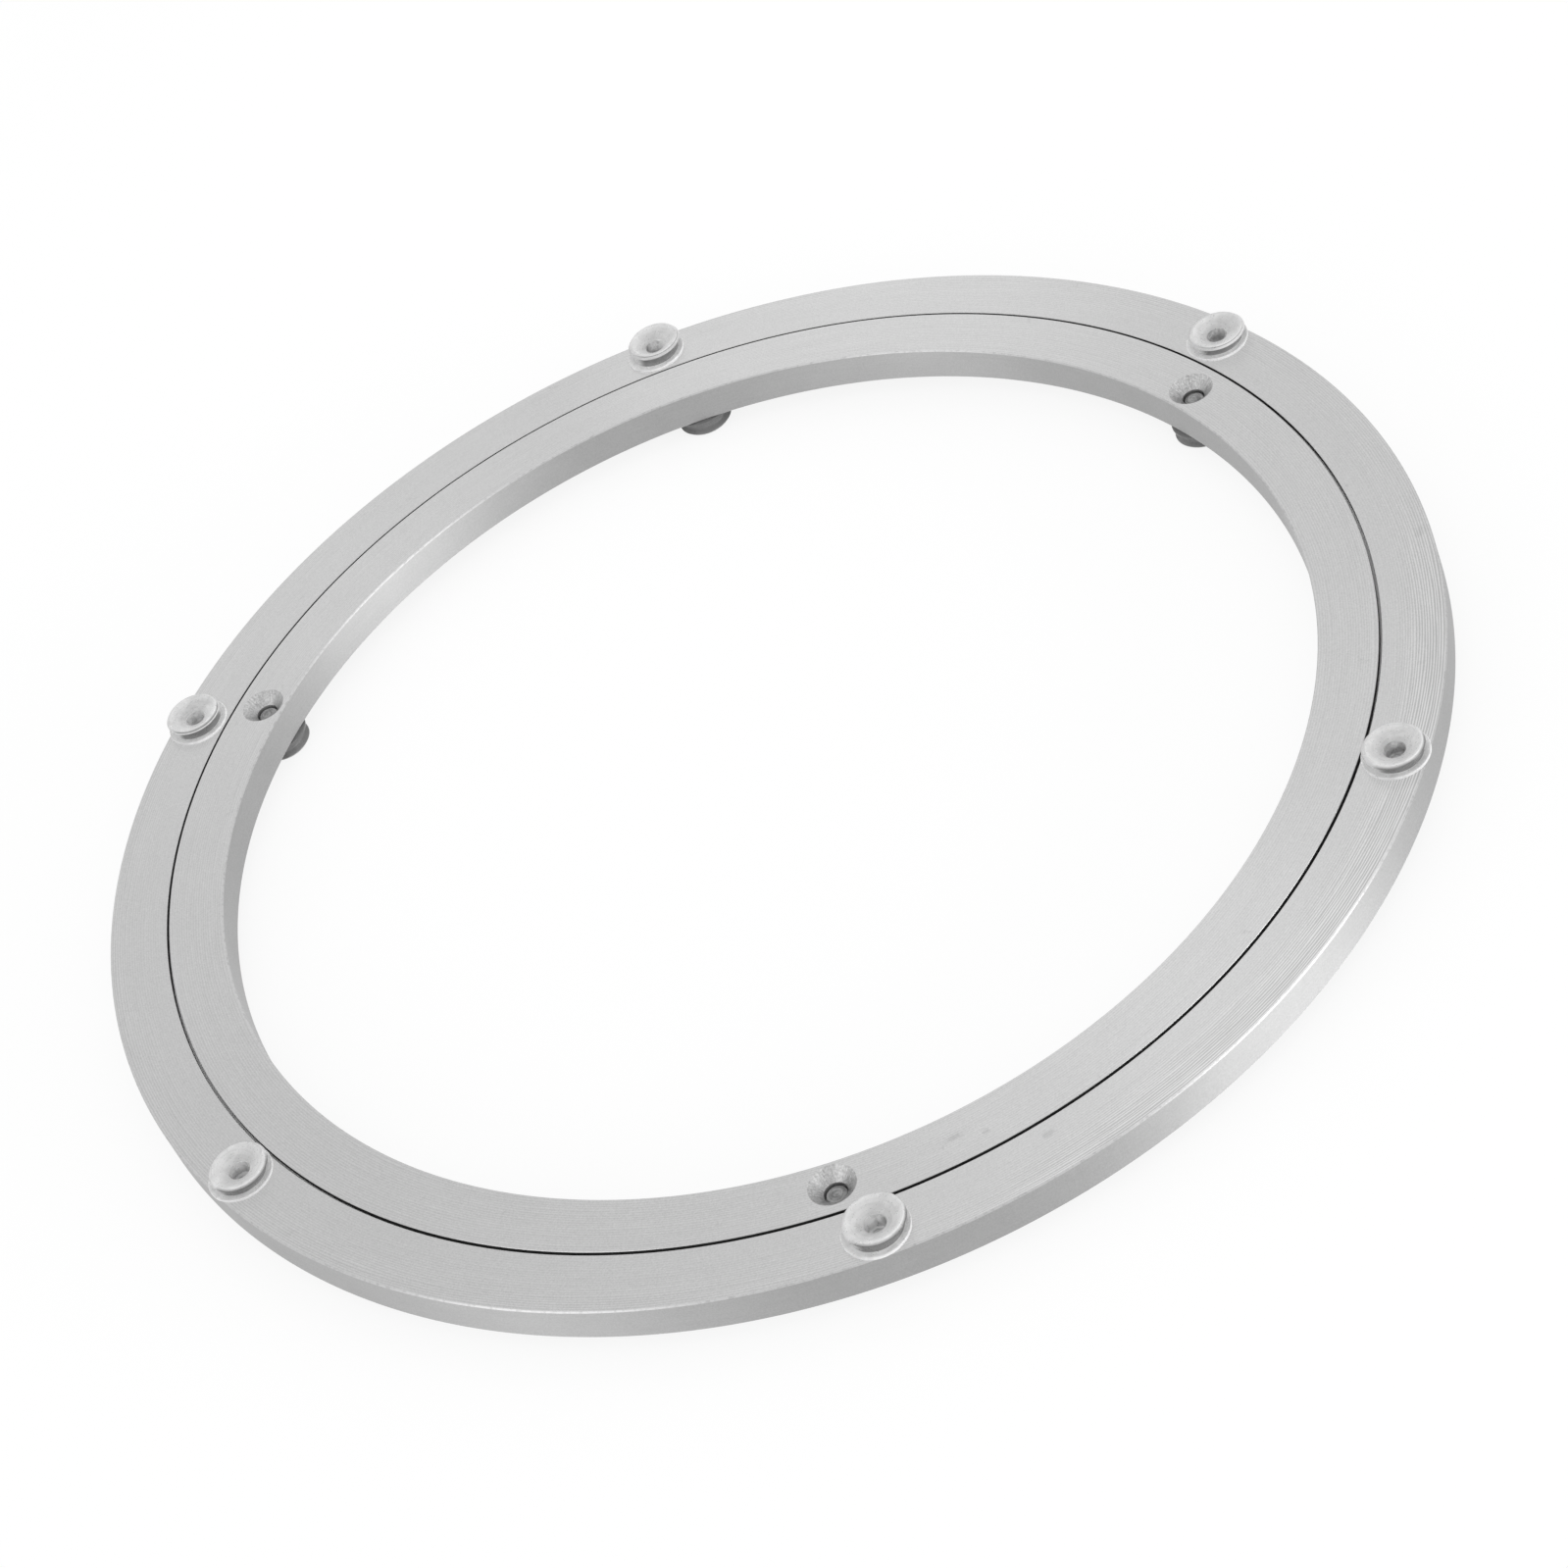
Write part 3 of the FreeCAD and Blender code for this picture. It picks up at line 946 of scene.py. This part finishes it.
def polished(name, tint, size):
    """Polished or ground steel with hair scratches of the given size."""
    material, nodes = finish_nodes(name)
    hair = nodes.noise(nodes.place(), size, 4.0, 0.7, 1.5)
    nodes.surface(Base_Color=nodes.mix(hair, shade(tint, 0.92), shade(tint, 1.06)), Metallic=1.0,
                  Roughness=0.08 + hair * 0.12, Normal=nodes.bump(hair, 0.002 * MM))
    return material


def paint_node(node, material):
    """Gives a frame node its finish."""
    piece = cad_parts[node]
    if not piece.material_slots:
        piece.data.materials.append(material)
    for slot in piece.material_slots:
        slot.material = material


# Operators

class BEARING_OT_inner_ring(bpy.types.Operator):
    """Turns the inner ring, with its countersinks on top and the feet's holes below"""
    bl_idname = "bearing.inner_ring"
    bl_label = "Inner Ring"

    def execute(self, context):
        piece = Ring("inner_ring", True, False, FIRST_FOOT, FOOT_CIRCLE).piece("inner_ring_turned")
        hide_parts("inner_ring")
        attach(piece, "inner")
        return {"FINISHED"}


class BEARING_OT_outer_ring(bpy.types.Operator):
    """Turns the outer ring, with the pads' holes on top and its filling hole in the wall"""
    bl_idname = "bearing.outer_ring"
    bl_label = "Outer Ring"

    def execute(self, context):
        ring = Ring("outer_ring", False, True, FIRST_PAD, PAD_CIRCLE)
        piece = ring.piece("outer_ring_turned", PLUG_AZIMUTH)
        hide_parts("outer_ring")
        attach(piece, "outer")
        return {"FINISHED"}


class BEARING_OT_pads(bpy.types.Operator):
    """Moulds the clear pads that grip the turntable's top"""
    bl_idname = "bearing.pads"
    bl_label = "Pads"

    def execute(self, context):
        tint = context.scene.bearing_finish.pad
        silicones = silicone_pair("pad", tint, PAD_CLEARNESS, FIRST_PAD, PAD_CIRCLE)
        seat = heights("outer_ring")[1]
        for index in range(1, HOLE_COUNT + 1):
            node = "pad_%d" % index
            piece = spool(node, True, seat, silicones, PAD_TONES, index,
                          PAD_LEANS[index - 1], PAD_SHADES[index - 1])
            piece.visible_glossy = False
            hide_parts(node)
            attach(piece, "outer")
        return {"FINISHED"}


class BEARING_OT_feet(bpy.types.Operator):
    """Moulds the clear feet that the inner ring stands on"""
    bl_idname = "bearing.feet"
    bl_label = "Feet"

    def execute(self, context):
        tint = context.scene.bearing_finish.foot
        silicones = silicone_pair("foot", tint, FOOT_CLEARNESS, FIRST_FOOT, FOOT_CIRCLE)
        seat = heights("inner_ring")[0]
        for index in range(1, HOLE_COUNT + 1):
            node = "foot_%d" % index
            piece = spool(node, False, seat, silicones, FOOT_TONES, index + 3, FOOT_LEAN, FOOT_SHADE)
            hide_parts(node)
            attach(piece, "inner")
        return {"FINISHED"}


class BEARING_OT_race(bpy.types.Operator):
    """Finishes the balls, their cage and the plug of the filling hole"""
    bl_idname = "bearing.race"
    bl_label = "Race"

    def execute(self, context):
        finish = context.scene.bearing_finish
        steel = polished("ball_steel", finish.steel, 0.8 * MM)
        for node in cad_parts:
            if node.startswith("ball_"):
                paint_node(node, steel)
        paint_node("cage", nylon("cage_nylon", finish.nylon))
        paint_node("fill_plug", ring_wall("plug_end", finish.outside_wall))
        return {"FINISHED"}


class BEARING_OT_stage(bpy.types.Operator):
    """Sets the pale floor, white surroundings, soft lamps and the photograph's camera"""
    bl_idname = "bearing.stage"
    bl_label = "Stage"

    def execute(self, context):
        scene = context.scene
        scene.view_settings.view_transform = "Standard"

        # Floor
        mesh = bpy.data.meshes.new("floor")
        corners = [(-FLOOR_HALF, -FLOOR_HALF, 0), (FLOOR_HALF, -FLOOR_HALF, 0),
                   (FLOOR_HALF, FLOOR_HALF, 0), (-FLOOR_HALF, FLOOR_HALF, 0)]
        mesh.from_pydata(corners, [], [(0, 1, 2, 3)])
        floor = bpy.data.objects.new("floor", mesh)
        scene.collection.objects.link(floor)
        material, nodes = finish_nodes("pale_floor")
        seen = self.seen(nodes)
        cloth = nodes.noise(nodes.place(), 4 * MM)
        tint = scene.bearing_finish.floor
        pale = nodes.mix(cloth, shade(tint, 0.99), shade(tint, 1.01))
        matt = nodes.add("ShaderNodeBsdfDiffuse", (), {"Color": pale})
        glow = nodes.add("ShaderNodeEmission", (), {"Color": WHITE, "Strength": 1.0})
        both = nodes.add("ShaderNodeMixShader", (), {0: seen * FLOOR_GLOW, 1: matt, 2: glow})
        nodes.add("ShaderNodeOutputMaterial", (), {"Surface": both})
        mesh.materials.append(material)

        # Surroundings
        world = bpy.data.worlds.new("white_room")
        world.use_nodes = True
        scene.world = world
        nodes = Nodes(world.node_tree)
        white = nodes.add("ShaderNodeBackground", (), {"Color": WHITE, "Strength": 1.0})
        nodes.add("ShaderNodeOutputWorld", (), {"Surface": white})

        # Lamps
        for name, (place, size, power) in LAMPS.items():
            self.lamp(scene, name, place, size, power)

        # Camera
        right = Vector(CAMERA_RIGHT).normalized()
        down = Vector(CAMERA_DOWN)
        down = (down - right * down.dot(right)).normalized()
        back = right.cross(-down)
        camera = bpy.data.objects.new("camera", bpy.data.cameras.new("camera"))
        camera.data.lens = CAMERA_LENS
        camera.data.sensor_width = SENSOR_WIDTH
        camera.data.clip_start = 0.01
        turned = Matrix((right, -down, back)).transposed().to_4x4()
        camera.matrix_world = Matrix.Translation(CAMERA_PLACE) @ turned
        scene.collection.objects.link(camera)
        scene.camera = camera
        return {"FINISHED"}

    def seen(self, nodes):
        """1 for rays that show the surroundings: from the camera, a reflection or through glass."""
        camera = nodes.add("ShaderNodeLightPath", output="Is Camera Ray")
        glossy = nodes.add("ShaderNodeLightPath", output="Is Glossy Ray")
        through = nodes.add("ShaderNodeLightPath", output="Is Transmission Ray")
        return camera.math("MAXIMUM", camera.math("MAXIMUM", camera, glossy), through)

    def lamp(self, scene, name, place, size, power):
        """A soft lamp of a given width and height that points at the bearing."""
        light = bpy.data.lights.new(name, "AREA")
        light.shape = "RECTANGLE"
        light.size, light.size_y = size
        light.energy = power
        lamp = bpy.data.objects.new(name, light)
        lamp.location = place
        lamp.rotation_euler = (-Vector(place)).to_track_quat("-Z", "Y").to_euler()
        lamp.visible_camera = False
        scene.collection.objects.link(lamp)


class BEARING_PT_parts(bpy.types.Panel):
    bl_label = "Lazy Susan Bearing"
    bl_idname = "BEARING_PT_parts"
    bl_space_type = "VIEW_3D"
    bl_region_type = "UI"
    bl_category = "Bearing"

    def draw(self, context):
        for operator in OPERATORS:
            self.layout.operator(operator.bl_idname)
        for group in (context.scene.bearing_sizes, context.scene.bearing_finish):
            box = self.layout.box()
            for name in group.__annotations__:
                box.prop(group, name)


OPERATORS = (
    BEARING_OT_inner_ring,
    BEARING_OT_outer_ring,
    BEARING_OT_pads,
    BEARING_OT_feet,
    BEARING_OT_race,
    BEARING_OT_stage,
)
CLASSES = (BearingSizes, BearingFinish) + OPERATORS + (BEARING_PT_parts,)


def register():
    for each in CLASSES:
        bpy.utils.register_class(each)
    bpy.types.Scene.bearing_sizes = PointerProperty(type=BearingSizes)
    bpy.types.Scene.bearing_finish = PointerProperty(type=BearingFinish)


def unregister():
    del bpy.types.Scene.bearing_finish
    del bpy.types.Scene.bearing_sizes
    for each in reversed(CLASSES):
        bpy.utils.unregister_class(each)


def main():
    register()
    bpy.ops.bearing.inner_ring()
    bpy.ops.bearing.outer_ring()
    bpy.ops.bearing.pads()
    bpy.ops.bearing.feet()
    bpy.ops.bearing.race()
    bpy.ops.bearing.stage()


if __name__ == "__main__":
    main()
